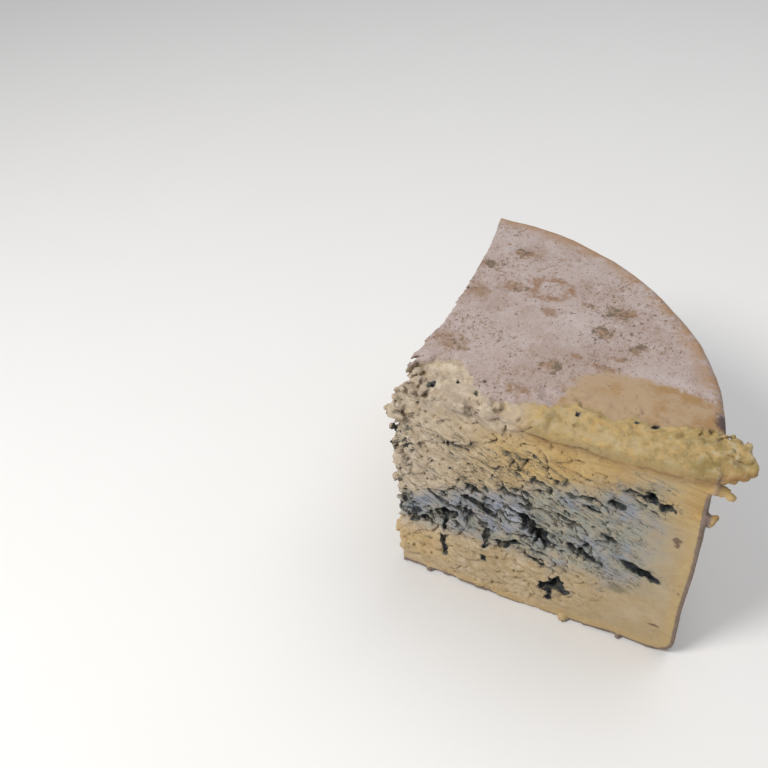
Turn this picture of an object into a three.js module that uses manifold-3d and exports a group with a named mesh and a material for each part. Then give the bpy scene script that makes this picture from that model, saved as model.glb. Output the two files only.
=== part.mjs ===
// A wedge of blue cheese: about a quarter of a flat, drum-shaped wheel, standing on its lower face.
//
// Millimetres, +Z up. The front cut runs along +X with its face towards -Y, the side cut runs along +Y with
// its face towards -X, and the two meet at the apex. The rim is the wheel's outer wall, and the top is rind.
// The finished wedge is moved so that the middle of its box is over the origin and its base lies at z = 0.
//
// It is one solid. The body is a loop of stations round its plan, repeated up the height and closed by rings
// over the top. Lumps of curd are fused on, and so is the lip of soft paste that the knife dragged along the
// front cut's top edge.

import * as THREE from 'three';
import { mergeVertices } from 'three/addons/utils/BufferGeometryUtils.js';
import Module from 'manifold-3d';

const { smoothstep, clamp, lerp, degToRad } = THREE.MathUtils;

// ---------------------------------------------------------------------------------------------------------
// Driving dimensions

const HEIGHT = 120; // of the whole wheel
const FRONT_CUT = 133; // apex to rim along the front cut
const SIDE_CUT = 139; // apex to rim along the side cut
const CUT_ANGLE = degToRad(93); // between the two cuts
const RIM_RADIUS = 145; // of the wheel
const TOP_ROUNDING = 4; // where the rim turns into the top
const BASE_ROUNDING = 11; // where the rim turns into the base
const SIDE_BOW = 6; // how far the knife wandered into the side cut, at its middle

const CRAG_DEPTH = 3.1; // broken paste stands this far in and out of a cut
const CRAG_SIZE = 13; // length of a flake of broken paste
const RIND_SWELL = 1.1; // slow unevenness of the rind
const CHIPPED = 6.5; // the top has crumbled away by this much at the apex

const STATIONS = { front: 42, rim: 17, side: 30 }; // round the plan
const ROWS = 29; // up the height
const ROW_CROWDING = 0.35; // how much of the even spacing the rows lose at the top and the base
const TOP_RINGS = [0.045, 0.095, 0.155, 0.23, 0.34, 0.49, 0.7]; // from the top's edge, 0, to its middle, 1

// Openings that the mould has made in the front cut: where, along x and z, and how wide and deep.
const OPENINGS = [
  { x: 65, z: 55, wide: 7, deep: 5 },
  { x: 76, z: 19, wide: 6.5, deep: 5 },
  { x: 108, z: 95, wide: 6, deep: 3.5 },
  { x: 52, z: 39, wide: 6, deep: 4 },
  { x: 15, z: 44, wide: 6, deep: 4 },
  { x: 114, z: 50, wide: 5.5, deep: 3.5 },
  { x: 37, z: 60, wide: 5.5, deep: 3.5 },
];

// Lumps of curd that stand out of the crumbled paste.
const EDGE_CURDS = 13; // up the apex's edge
const TOP_CURDS = 8; // over the chipped top

// The dragged lip: from beside the apex to a ragged tongue, which overhangs the rim.
const LIP = { from: 40, to: 145, halfWidth: 10, halfThick: 4.2, y: 7.4, z: 116.2, tilt: degToRad(20) };
const LIP_SWING = 3.4; // how far the tongue's end leans away from the front cut

// Lumps with places of their own: on the tongue, two barbs under it, and one by the apex.
const PLACED_CURDS = [
  { x: 134, y: 14, z: 118.6, radius: 3.8 },
  { x: 138.6, y: 12, z: 117.8, radius: 3.8 },
  { x: 140.4, y: 9, z: 117.2, radius: 3.6 },
  { x: 135.4, y: 6.2, z: 115, radius: 4 },
  { x: 133.4, y: 2.6, z: 108.4, radius: 3.8 },
  { x: 131.6, y: 2.4, z: 93.6, radius: 3.8 },
  { x: -1.6, y: 1.4, z: 99, radius: 4.6 },
];

// ---------------------------------------------------------------------------------------------------------
// Repeatable unevenness

/** A number from 0 to 1 that belongs to a lattice point. */
function hash(i, j, k) {
  let h = Math.imul(i, 374761393) ^ Math.imul(j, 668265263) ^ Math.imul(k, 1442695041);
  h = Math.imul(h ^ (h >>> 15), 2246822519);
  h = Math.imul(h ^ (h >>> 13), 3266489917);
  return ((h ^ (h >>> 16)) >>> 0) / 4294967296;
}

/** Smooth noise from -1 to 1, with a hill or hollow about every unit. */
function noise(x, y, z) {
  const [i, j, k] = [Math.floor(x), Math.floor(y), Math.floor(z)];
  const [u, v, w] = [x - i, y - j, z - k].map((t) => t * t * (3 - 2 * t));
  const row = (dj, dk) => lerp(hash(i, j + dj, k + dk), hash(i + 1, j + dj, k + dk), u);
  return 2 * lerp(lerp(row(0, 0), row(1, 0), v), lerp(row(0, 1), row(1, 1), v), w) - 1;
}

/** Broken paste as a heap of tilted flakes, from about -1 to 1, for a point along and up a cut. */
function flakes(along, up, seed) {
  const [u, v] = [along / CRAG_SIZE, up / (0.62 * CRAG_SIZE)];
  let nearest = { distance: Infinity };
  for (let i = Math.floor(u) - 1; i <= Math.floor(u) + 1; i++) {
    for (let j = Math.floor(v) - 1; j <= Math.floor(v) + 1; j++) {
      const [du, dv] = [u - i - hash(i, j, seed), v - j - hash(i, j, seed + 1)];
      const distance = Math.hypot(du, dv);
      if (distance < nearest.distance) nearest = { distance, du, dv, i, j };
    }
  }
  const lean = 2 * hash(nearest.i, nearest.j, seed + 2) - 1;
  return lean + 0.9 * nearest.dv - 0.5 * nearest.du;
}

// ---------------------------------------------------------------------------------------------------------
// Plan of the wedge

const APEX = new THREE.Vector2(0, 0);
const FRONT_END = new THREE.Vector2(FRONT_CUT, 0);
const SIDE_END = new THREE.Vector2(Math.cos(CUT_ANGLE), Math.sin(CUT_ANGLE)).multiplyScalar(SIDE_CUT);

/** The wheel's middle, which both cuts miss by a little: RIM_RADIUS from each cut's outer end. */
function wheelMiddle() {
  const chord = SIDE_END.clone().sub(FRONT_END);
  const reach = Math.sqrt(RIM_RADIUS ** 2 - chord.lengthSq() / 4);
  const outward = new THREE.Vector2(chord.y, -chord.x).normalize();
  return FRONT_END.clone().lerp(SIDE_END, 0.5).addScaledVector(outward, -reach);
}

const WHEEL = wheelMiddle();

/** Where a line from the apex in a direction meets a circle about the wheel's middle. */
function meetRim(direction, radius) {
  const along = WHEEL.dot(direction);
  return direction.clone().multiplyScalar(along + Math.sqrt(along ** 2 - WHEEL.lengthSq() + radius ** 2));
}

/** How far a rounded edge draws the rim in, at a height above the base. */
function rimInset(z) {
  const below = clamp(BASE_ROUNDING - z, 0, BASE_ROUNDING);
  const above = clamp(z - HEIGHT + TOP_ROUNDING, 0, TOP_ROUNDING);
  return BASE_ROUNDING - Math.sqrt(BASE_ROUNDING ** 2 - below ** 2)
    + TOP_ROUNDING - Math.sqrt(TOP_ROUNDING ** 2 - above ** 2);
}

/** The loop of stations at a height: front cut, rim, then side cut back to the apex. */
function planLoop(z) {
  const radius = RIM_RADIUS - rimInset(z);
  const frontEnd = meetRim(FRONT_END.clone().normalize(), radius);
  const sideEnd = meetRim(SIDE_END.clone().normalize(), radius);
  const angles = [frontEnd, sideEnd].map((end) => end.clone().sub(WHEEL).angle());
  const sideNormal = new THREE.Vector2(-SIDE_END.y, SIDE_END.x).normalize();
  const loop = [];
  for (let n = 0; n < STATIONS.front; n++) {
    const share = n / STATIONS.front;
    loop.push({ face: 'front', at: APEX.clone().lerp(frontEnd, share), normal: new THREE.Vector2(0, -1) });
  }
  for (let n = 0; n < STATIONS.rim; n++) {
    const angle = lerp(angles[0], angles[1], n / STATIONS.rim);
    const normal = new THREE.Vector2(Math.cos(angle), Math.sin(angle));
    loop.push({ face: 'rim', at: WHEEL.clone().addScaledVector(normal, radius), normal });
  }
  for (let n = 0; n < STATIONS.side; n++) {
    const share = n / STATIONS.side;
    const at = sideEnd.clone().lerp(APEX, share);
    at.addScaledVector(sideNormal, -SIDE_BOW * Math.sin(Math.PI * share));
    loop.push({ face: 'side', at, normal: sideNormal });
  }
  return loop;
}

// ---------------------------------------------------------------------------------------------------------
// Relief

/** From 0 where a cut is smooth to 1 where it crumbles: worst by the apex, least by the rim and the base. */
function crumbling(along, z) {
  const inward = 1 - smoothstep(along, 45, 118);
  const middle = smoothstep(z, 2, 30) * (1 - 0.5 * smoothstep(z, 92, 116) * smoothstep(along, 25, 60));
  return lerp(0.22, 1, inward) * lerp(0.45, 1, middle);
}

/** How deep the mould's openings reach into the front cut at a point. */
function opened(x, z) {
  return OPENINGS.reduce((deepest, hole) => {
    const away = Math.hypot((x - hole.x) / hole.wide, (z - hole.z) / (0.8 * hole.wide));
    return Math.max(deepest, hole.deep * (1 - smoothstep(away, 0.3, 1)));
  }, 0);
}

/** How far the surface stands out of a cut's plane. */
function cutRelief(face, along, z) {
  const seed = face === 'front' ? 11 : 23;
  const rough = 0.7 * flakes(along, z, seed) + 0.5 * noise(along / 7, z / 7, seed);
  const slow = 0.8 * noise(along / 38, z / 38, seed + 5);
  const hollow = face === 'front' ? opened(along, z) : 0;
  return CRAG_DEPTH * crumbling(along, z) * rough + slow - hollow;
}

/** How far the rind stands out, for a point on it. */
function rindRelief(x, y, z) {
  return RIND_SWELL * noise(x / 34, y / 34, z / 34) + 0.35 * noise(x / 12, y / 12, z / 12);
}

/** The top's height over a point of the plan: rind, chipped away towards the apex and the front edge. */
function topHeight(x, y) {
  const ragged = 4 * noise(x / 8, y / 8, 3);
  const byApex = 1 - smoothstep(Math.hypot(x / 1.5, y) + ragged, 4, 26);
  const byFront = 0.35 * (1 - smoothstep(y + ragged, 0, 14));
  const chip = Math.max(byApex, byFront);
  const relief = lerp(rindRelief(x, y, HEIGHT), 1.6 * noise(x / 6, y / 6, 9), chip);
  return HEIGHT - CHIPPED * chip + relief;
}

/** The finished point for a station of the loop, at a share of the height. */
function wallPoint({ face, at, normal }, share) {
  const z = share * topHeight(at.x, at.y);
  const base = smoothstep(share, 0, 0.03);
  const relief = face === 'rim' ? base * rindRelief(at.x, at.y, z) : cutRelief(face, at.length(), z);
  return new THREE.Vector3(at.x + relief * normal.x, at.y + relief * normal.y, z);
}

// ---------------------------------------------------------------------------------------------------------
// Body

/** Shares of the height for the rows, closer together at the rounded edges. */
function rowShares() {
  return Array.from({ length: ROWS + 1 }, (_, n) => {
    const turn = 2 * Math.PI * n / ROWS;
    return (turn - ROW_CROWDING * Math.sin(turn)) / (2 * Math.PI);
  });
}

/** The cheese without lip and lumps: walls, then rings that close the top, then the flat base. */
function bodyGeometry() {
  const loopAt = (share) => planLoop(share * HEIGHT).map((station) => wallPoint(station, share));
  const loops = rowShares().map(loopAt);
  const edge = loops.at(-1);
  const middle = new THREE.Vector3(FRONT_CUT * 0.42, SIDE_CUT * 0.42, 0);
  for (const share of TOP_RINGS) {
    loops.push(edge.map((point) => {
      const ring = point.clone().lerp(middle, share);
      ring.z = topHeight(ring.x, ring.y);
      return ring;
    }));
  }
  middle.z = topHeight(middle.x, middle.y);

  const count = edge.length;
  const points = [...loops.flat(), middle];
  const index = [];
  for (let row = 0; row + 1 < loops.length; row++) {
    for (let n = 0; n < count; n++) {
      const [a, b] = [row * count + n, row * count + (n + 1) % count];
      index.push(a, b, b + count, a, b + count, a + count);
    }
  }
  const last = (loops.length - 1) * count;
  for (let n = 0; n < count; n++) index.push(last + n, last + (n + 1) % count, points.length - 1);
  const base = loops[0].map((point) => new THREE.Vector2(point.x, point.y));
  for (const [a, b, c] of THREE.ShapeUtils.triangulateShape(base, [])) index.push(c, b, a);

  const geometry = new THREE.BufferGeometry().setFromPoints(points);
  geometry.setIndex(index);
  return geometry;
}

// ---------------------------------------------------------------------------------------------------------
// What the knife dragged out

/** The lip of soft paste along the top of the front cut. A capsule is bent to it and thinned at its ends. */
function lipGeometry() {
  const geometry = new THREE.CapsuleGeometry(1, 2, 3, 10, 22);
  const position = geometry.attributes.position;
  for (let n = 0; n < position.count; n++) {
    const share = clamp((position.getY(n) + 2) / 4, 0, 1);
    const x = lerp(LIP.from, LIP.to, share);
    const overhang = smoothstep(x, FRONT_CUT - 4, LIP.to);
    const full = lerp(0.45, 1, smoothstep(share, 0, 0.3));
    const across = LIP.halfWidth * full * (1 + 0.22 * noise(x / 7, 5, 1)) * -position.getX(n);
    const thick = LIP.halfThick * full * (1 + 0.3 * noise(x / 9, 8, 2)) * position.getZ(n);
    position.setXYZ(
      n,
      x + 1.5 * noise(x / 4, across / 4, 6),
      LIP.y + across * Math.cos(LIP.tilt) - thick * Math.sin(LIP.tilt) + LIP_SWING * overhang,
      LIP.z + across * Math.sin(LIP.tilt) + thick * Math.cos(LIP.tilt),
    );
  }
  return geometry;
}

/** A lump of curd: a knobbly ball, turned and flattened, about radius in size. */
function curdGeometry(at, radius, seed) {
  const geometry = new THREE.IcosahedronGeometry(radius, 1);
  const position = geometry.attributes.position;
  for (let n = 0; n < position.count; n++) {
    const [x, y, z] = [position.getX(n), position.getY(n), position.getZ(n)];
    const swell = 1 + 0.35 * noise(x / radius + seed, y / radius, z / radius);
    position.setXYZ(n, x * swell * 1.15, y * swell, z * swell * 0.72);
  }
  geometry.rotateY(0.9 * hash(seed, 1, 4) - 0.2);
  geometry.rotateZ(2 * Math.PI * hash(seed, 2, 4));
  geometry.translate(at.x, at.y, at.z);
  return geometry;
}

/** Lumps of curd: half sunk in the apex's edge and its chipped top, and the placed ones. */
function curds() {
  const all = [];
  const add = (x, y, z, radius) => {
    all.push(curdGeometry(new THREE.Vector3(x, y, z), radius, 7 * all.length));
  };
  for (let n = 0; n < EDGE_CURDS; n++) {
    const z = lerp(12, HEIGHT - 10, (n + 0.8 * hash(n, 1, 1)) / EDGE_CURDS);
    add(0.3 + 3 * hash(n, 2, 1), 0.8 + 4 * hash(n, 3, 1), z, lerp(2.8, 5.4, hash(n, 4, 1) ** 2));
  }
  for (let n = 0; n < TOP_CURDS; n++) {
    const x = lerp(3, 38, (n + 0.5 * hash(n, 5, 1)) / TOP_CURDS);
    const y = 2 + 11 * hash(n, 6, 1);
    add(x, y, topHeight(x, y) - 0.8, lerp(2.6, 4.6, hash(n, 7, 1)));
  }
  for (const { x, y, z, radius } of PLACED_CURDS) add(x, y, z, radius);
  return all;
}

// ---------------------------------------------------------------------------------------------------------
// One solid

/** Joins closed geometries into one. */
async function fuse(geometries) {
  const wasm = await Module();
  wasm.setup();
  const solids = geometries.map((source) => {
    const bare = source.clone();
    bare.deleteAttribute('normal');
    bare.deleteAttribute('uv');
    const merged = mergeVertices(bare, 1e-4);
    return new wasm.Manifold(new wasm.Mesh({
      numProp: 3,
      vertProperties: Float32Array.from(merged.attributes.position.array),
      triVerts: Uint32Array.from(merged.index.array),
    }));
  });
  const mesh = solids.reduce((joined, next) => joined.add(next)).getMesh();
  const geometry = new THREE.BufferGeometry();
  geometry.setAttribute('position', new THREE.BufferAttribute(mesh.vertProperties, mesh.numProp));
  geometry.setIndex(new THREE.BufferAttribute(mesh.triVerts, 1));
  return geometry;
}

const paste = new THREE.MeshStandardMaterial({ color: 0xdcc594, roughness: 0.62, metalness: 0 });
const cheese = new THREE.Mesh(await fuse([bodyGeometry(), lipGeometry(), ...curds()]), paste);
cheese.name = 'cheese_wedge';
cheese.geometry.computeVertexNormals();
cheese.geometry.computeBoundingBox();
const middleOfBox = cheese.geometry.boundingBox.getCenter(new THREE.Vector3());
cheese.position.set(-middleOfBox.x, -middleOfBox.y, 0);

const wedge = new THREE.Group();
wedge.name = 'blue_cheese_wedge';
wedge.add(cheese);

export default wedge;
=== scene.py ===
# Looks of a wedge of blue cheese: a quarter of a drum-shaped wheel, standing on its lower face.
#
# The wedge's shape is described as a distance: how far a point lies outside the cheese. Broken paste, mould
# openings, needle channels, the dragged lip and the lumps of curd are all terms of that distance. It is
# sampled on a grid of small cubes near the surface, and one closed mesh is drawn through its zero.
#
# Shape functions work in millimetres from the apex's foot: x along the front cut towards the rim, y into the
# cheese, z up. Blender's objects are in metres in the frame's own place.

import math
from concurrent.futures import ThreadPoolExecutor

import bpy
import numpy as np
import openvdb
from mathutils import Matrix, Vector


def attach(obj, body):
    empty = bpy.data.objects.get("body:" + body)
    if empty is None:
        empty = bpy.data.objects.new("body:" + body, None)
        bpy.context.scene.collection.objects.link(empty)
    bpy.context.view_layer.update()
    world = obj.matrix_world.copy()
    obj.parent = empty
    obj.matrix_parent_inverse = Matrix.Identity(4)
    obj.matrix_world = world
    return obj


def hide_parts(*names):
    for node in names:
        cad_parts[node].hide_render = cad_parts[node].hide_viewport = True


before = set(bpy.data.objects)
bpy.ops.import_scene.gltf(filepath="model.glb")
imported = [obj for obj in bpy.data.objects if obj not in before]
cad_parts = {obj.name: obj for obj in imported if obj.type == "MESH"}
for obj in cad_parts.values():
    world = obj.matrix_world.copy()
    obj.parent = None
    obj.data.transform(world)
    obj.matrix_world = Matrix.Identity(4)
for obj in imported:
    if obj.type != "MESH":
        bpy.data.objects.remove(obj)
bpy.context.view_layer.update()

MM = 0.001
APEX = np.array([-68.33, -67.514, 0.0])  # the apex's foot in the frame, mm

# ---- Driving sizes, mm ----

HEIGHT = 120.0
FRONT_CUT = 133.0
SIDE_CUT = 139.0
CUT_ANGLE = math.radians(93)
RIM_RADIUS = 145.0
TOP_ROUNDING = 4.0
BASE_ROUNDING = 11.0
SIDE_BOW = 6.0
CHIPPED = 6.5  # the top has crumbled away by this much at the apex
RIND_THICK = 1.7

CUBE = 0.6  # of the sampling grid
MOST_TRIANGLES = 196_000
DEEP = 11.0  # how far inside a cut the openings can reach
CRACKED = 6.5  # how far inside a cut its cracks can reach
SHALLOW = 3.5  # how far inside the rind its relief can reach
OUTSIDE = 5.0  # how far the relief can stand out
HOLLOW_REACH = 2.2  # how far out the surroundings are felt, to tell hollows from bumps

FLAKE_SLOPE = math.radians(22)  # flakes run down towards the rim by this angle

SIDE_DIRECTION = np.array([math.cos(CUT_ANGLE), math.sin(CUT_ANGLE)])
SIDE_NORMAL = np.array([-SIDE_DIRECTION[1], SIDE_DIRECTION[0]])

# Where the rind ends on the top: y at a few places along x. Paste shows in front of this edge.
RIND_EDGE = [
    (-6, 4), (7, 16), (20, 23), (33, 9), (44, 4), (61, 10),
    (76, 13), (87, 13), (106, 17), (127, 22), (150, 26),
]

# Openings in the front cut, darkened by mould: x, z, half width, half height, depth, lean in degrees.
OPENINGS = [
    (62, 59, 3.0, 4.4, 8, -42), (67.5, 52.5, 3.4, 5.0, 9, -30), (74, 50, 1.5, 1.3, 5, 0),
    (79, 24, 4.6, 4.0, 9, 15), (73, 20.5, 4.2, 3.2, 8, -25), (74.5, 13.5, 1.2, 3.0, 4, 5),
    (114, 50, 5.2, 2.2, 6, 5), (88, 50.5, 5.6, 1.3, 4, 26), (83, 52.5, 2.6, 1.5, 4, 40),
    (50, 38, 3.4, 2.2, 6, -12), (57, 42, 3.6, 1.0, 4, -14), (67, 36, 4.0, 1.2, 5, 24),
    (23, 47, 4.6, 2.0, 5, -10), (14, 39, 3.0, 1.4, 4, 30), (7, 38, 3.0, 2.2, 5, 0),
    (33, 52, 3.4, 1.6, 4, 18), (40, 59, 7.0, 1.1, 5, 24), (35, 69, 4.4, 1.1, 4, 14),
    (98, 64.5, 3.4, 1.0, 4, 24), (104, 96, 3.4, 1.8, 5, 10), (111, 95, 3.0, 2.0, 6, 20),
    (117, 93, 2.6, 2.2, 6, -30), (99, 86, 2.6, 1.5, 5, 10), (88, 80, 3.0, 1.0, 4, 16),
    (107, 53, 4.0, 1.0, 4, 6),
]

# Small dark pits on the lip and the chipped top: x, y, radius.
PITS = [
    (105, 14.5, 0.95), (98.5, 13.5, 0.5), (75.5, 9.5, 0.5),
    (13.5, 7.5, 0.6), (11.5, 6, 0.4), (24, 10, 0.15), (34.5, 13.5, 0.1), (33.5, 6.5, 0.2), (18, 19.5, 0.2),
]

# Brown blotches on the rind: x, y, half width, half length.
BLOTCHES = [
    (19, 109, 5.5, 4.0), (4, 94, 5.0, 2.0), (44, 69, 4.0, 2.6), (70, 64, 4.5, 3.6), (73, 80, 6.0, 4.5),
    (87, 58, 4.0, 4.5), (57, 32, 4.5, 3.6), (77, 40, 5.5, 2.4), (64, 43, 2.6, 1.6), (82, 48, 3.6, 1.8),
    (11, 32, 7.5, 5.5), (8, 72, 5.5, 4.5), (22, 81, 5.5, 3.5), (59, 80, 3.6, 2.6), (49, 13, 4.5, 3.0),
]

# Needle channels that the cuts have opened: the cut, distance from the apex, lowest and highest z.
CHANNELS = [("front", 22.5, 17, 49), ("front", 42.5, 22, 45), ("side", 31, 26, 70), ("side", 84, 40, 88)]
NEEDLE = 1.05  # radius of a channel

# The dragged lip, from beside the apex to a ragged tongue that overhangs the rim.
LIP = {"from": 40.0, "to": 145.0, "half_width": 10.0, "half_thick": 3.8, "y": 7.6, "z": 116.4}
LIP_TILT = math.radians(20)
LIP_RISE = 1.8  # how much higher the lip lies at the rim
LIP_SWING = 3.6  # how far the tongue leans away from the front cut
TIP_RETURN = 2.6  # how far the tongue's tip comes back
LIP_ROUNDING = 5.0  # of the cheese's upper front edge, where the lip was smeared over it

# Lumps placed one by one: middle and radius.
APEX_LUMPS = [
    ((-2.6, 1.6, 98.6), 3.2), ((-4.8, 2.0, 97.6), 1.8), ((-4.2, 1.2, 100.9), 2.1), ((-1.8, 0.6, 102.4), 1.9),
    ((-2.6, 1.0, 91.0), 1.7), ((-1.8, 0.6, 82.0), 2.1), ((-2.0, 1.0, 71.0), 2.3), ((-1.6, 0.4, 60.0), 1.9),
]
TONGUE_LUMPS = [
    ((134.6, 15.0, 119.9), 3.0), ((135.6, 18.0, 119.7), 2.2), ((138.8, 13.4, 119.7), 2.7),
    ((137.8, 16.2, 119.5), 1.5), ((141.6, 11.2, 119.1), 2.2), ((143.4, 9.6, 118.7), 1.5),
    ((142.8, 6.8, 118.1), 2.0), ((144.2, 7.6, 119.5), 1.1), ((139.6, 5.2, 117.1), 2.4),
    ((136.8, 4.6, 115.7), 2.6), ((133.6, 3.2, 114.5), 2.2), ((140.6, 8.6, 120.7), 1.4),
    ((137.0, 9.6, 121.1), 1.7), ((134.0, 10.6, 121.5), 1.5), ((141.2, 4.0, 116.7), 1.2),
    ((138.2, 3.2, 114.5), 1.3),
]
BARB_LUMPS = [
    ((131.8, 1.4, 93.6), 3.0), ((133.8, 1.2, 92.8), 2.5),
    ((135.2, 1.1, 94.8), 1.6), ((133.6, 1.0, 90.2), 1.6),
]
FOOT_LUMPS = [((82, -0.8, 1.6), 1.9), ((14, -0.3, 1.4), 1.4), ((39, 0.1, 1.3), 1.2), ((108, 0.2, 1.3), 1.1)]

# The band of blue mould, which rises and widens away from the apex.
BAND_MIDDLE = 43.0  # height of its middle at the apex
BAND_HALF = 9.0  # half its height there
BAND_SLOPE = 0.25  # how much both grow with each mm from the apex


# ---- Repeatable unevenness ----

LATTICE = np.random.default_rng(11).random((4, 64 ** 3), dtype=np.float32)


def lattice(i, j, k, layer=0):
    """A number from 0 to 1 that belongs to a lattice point."""
    return LATTICE[layer].take(((i & 63) << 12) | ((j & 63) << 6) | (k & 63))


def smoothstep(low, high, t):
    t = np.clip((t - low) / (high - low), 0, 1)
    return t * t * (3 - 2 * t)


def lerp(a, b, t):
    return a + (b - a) * t


def noise(x, y, z, layer=0):
    """Smooth noise from -1 to 1, with a hill or hollow about every unit."""
    x, y, z = np.broadcast_arrays(np.float32(x), np.float32(y), np.float32(z))
    i, j, k = (np.floor(t).astype(np.int32) for t in (x, y, z))
    u, v, w = x - i, y - j, z - k
    u, v, w = (t * t * (3 - 2 * t) for t in (u, v, w))
    rows = [lerp(lattice(i, j + dj, k + dk, layer), lattice(i + 1, j + dj, k + dk, layer), u)
            for dj, dk in ((0, 0), (1, 0), (0, 1), (1, 1))]
    return 2 * lerp(lerp(rows[0], rows[1], v), lerp(rows[2], rows[3], v), w) - 1


def cells(u, v, w=None, seed=0):
    """Scattered points, one to a unit cell: distances to the nearest two, v past the nearest, its number."""
    flat = w is None
    w = np.zeros_like(u) if flat else w
    i, j, k = (np.floor(t).astype(np.int32) for t in (u, v, w))
    first = np.full(u.shape, 9, np.float32)
    second = first.copy()
    past = np.zeros_like(first)
    own = np.zeros_like(first)
    for di in (-1, 0, 1):
        for dj in (-1, 0, 1):
            for dk in (0,) if flat else (-1, 0, 1):
                ci, cj, ck = i + di, j + dj, k + dk
                place = (((ci + seed) & 63) << 12) | ((cj & 63) << 6) | (ck & 63)
                du = u - ci - LATTICE[0].take(place)
                dv = v - cj - LATTICE[1].take(place)
                away = du * du + dv * dv
                if not flat:
                    dw = w - ck - LATTICE[2].take(place)
                    away += dw * dw
                closer = away < first
                second = np.where(closer, first, np.minimum(second, away))
                first = np.where(closer, away, first)
                past = np.where(closer, dv, past)
                own = np.where(closer, LATTICE[3].take(place), own)
    return np.sqrt(first), np.sqrt(second), past, own


def join(a, b, soft):
    """The union of two shapes given as distances, with a fillet about soft wide."""
    blend = np.clip(0.5 + 0.5 * (b - a) / soft, 0, 1)
    return lerp(b, a, blend) - soft * blend * (1 - blend)


def cut(a, b, soft):
    """Shape a with shape b taken out of it."""
    return -join(-a, b, soft)


# ---- Plan and outer faces ----

def wheel_middle():
    """The wheel's middle, which both cuts miss by a little: RIM_RADIUS from each cut's outer end."""
    front_end = np.array([FRONT_CUT, 0.0])
    side_end = SIDE_CUT * SIDE_DIRECTION
    chord = side_end - front_end
    length = np.hypot(*chord)
    outward = np.array([chord[1], -chord[0]]) / length
    return (front_end + side_end) / 2 - outward * math.sqrt(RIM_RADIUS ** 2 - length ** 2 / 4)


WHEEL = wheel_middle()


def rind_relief(x, y, z):
    """How far the rind stands out: slow swells, and small wrinkles."""
    slow = 1.1 * noise(x / 34, y / 34, z / 34) + 0.35 * noise(x / 12, y / 12, z / 12)
    return slow + 0.13 * noise(x / 3.4, y / 3.4, z / 2.4, 1)


def rounded(a, b, radius):
    """Two faces, as distances, that meet in a round edge."""
    a, b = a + radius, b + radius
    corner = np.hypot(np.maximum(a, 0), np.maximum(b, 0)) + np.minimum(np.maximum(a, b), 0)
    return corner - radius


def chipping(x, y):
    """From 0 where the top is whole to 1 where it has crumbled away most."""
    ragged = 4 * noise(x / 8, y / 8, 3)
    by_apex = 1 - smoothstep(4, 26, np.hypot(x / 1.5, y) + ragged)
    by_front = 0.35 * (1 - smoothstep(0, 14, y + ragged))
    return np.maximum(by_apex, by_front)


def bared(x, y):
    """How far in front of the rind's edge a point of the top lies, with the edge's small raggedness."""
    xs, ys = zip(*RIND_EDGE)
    edge = np.interp(x, xs, ys).astype(np.float32)
    ragged = 2.4 * noise(x / 8, y / 8, 7) + 1.6 * noise(x / 3.6, y / 3.6, 2)
    ragged = ragged + 0.8 * noise(x / 1.6, y / 1.6, 5)
    return edge - y + ragged


def faces(x, y, z):
    """Distances outside the plain faces: front cut, side cut, and the whole wheel."""
    front = -y
    along = x * SIDE_DIRECTION[0] + y * SIDE_DIRECTION[1]
    side = x * SIDE_NORMAL[0] + y * SIDE_NORMAL[1]
    side = side + SIDE_BOW * np.sin(np.pi * np.clip(along / SIDE_CUT, 0, 1))
    rim = np.hypot(x - WHEEL[0], y - WHEEL[1]) - RIM_RADIUS
    wheel = rounded(rounded(rim, z - HEIGHT, TOP_ROUNDING), -z, BASE_ROUNDING)
    return front, side, along, wheel


# ---- Broken paste ----

def crumbling(along, z):
    """From 0 where a cut is smooth to 1 where it crumbles: most by the apex, least by the rim and base."""
    inward = 1 - smoothstep(45, 118, along)
    middle = smoothstep(2, 30, z) * (1 - 0.55 * smoothstep(92, 112, z) * smoothstep(25, 60, along))
    patch = 0.6 * (1 - smoothstep(4, 17, np.hypot(along - 111, (z - 94) * 1.4)))
    return np.maximum(lerp(0.16, 1, inward) * lerp(0.35, 1, middle), patch)


def mould_band(along):
    """The mould band's middle and half height. Works for arrays and for a material's values."""
    growth = along * BAND_SLOPE
    return growth + BAND_MIDDLE, growth + BAND_HALF


def mouldy(along, z):
    """From 0 to 1 within the band of blue mould."""
    middle, half = mould_band(along)
    return smoothstep(1.15, 0.75, np.abs(z - middle) / half) * smoothstep(128, 104, along)


def flakes(along, up, depth, seed):
    """Broken paste. How far it stands out, about -1 to 1, and two shares: inside a crack, and near one.

    Each flake stands out at its lower edge, and a crack runs under some of those edges, above the next flake.
    """
    wander = 2.6 * noise(along / 9, up / 9, seed, 1)
    cos, sin = math.cos(FLAKE_SLOPE), math.sin(FLAKE_SLOPE)
    p = (along + wander) * cos - up * sin
    q = along * sin + (up + wander) * cos - 0.6 * depth
    rough = smoothstep(-0.35, 0.45, noise(p / 15, q / 9, seed + 2))
    mould = mouldy(along, up)
    large = (12.0, 5.6, 1.0, 0.11, 0.30)
    small = (4.8, 2.7, 0.55 * rough, 0.16, 0.48)
    stand = 0
    crack = 0
    beside = 0
    for length, height, weight, width, share in (large, small):
        near, next_near, past, own = cells(p / length, q / height, seed=seed)
        stand = stand + weight * (1.3 * own - 0.65 - 0.95 * past)
        wide = width * (1 + 0.7 * mould)
        chosen = smoothstep(share, share + 0.14, own + 0.03 * mould + 0.45 * noise(p / 10, q / 7, seed + 3))
        gap = next_near - near
        inside = smoothstep(1.7 * wide, 0.3 * wide, gap) * smoothstep(-0.05, 0.2, past)
        near_by = smoothstep(3.2 * wide, 0.5 * wide, gap) * smoothstep(-0.25, 0.1, past)
        crack = np.maximum(crack, inside * chosen)
        beside = np.maximum(beside, near_by * chosen)
    return stand, crack, beside


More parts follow.
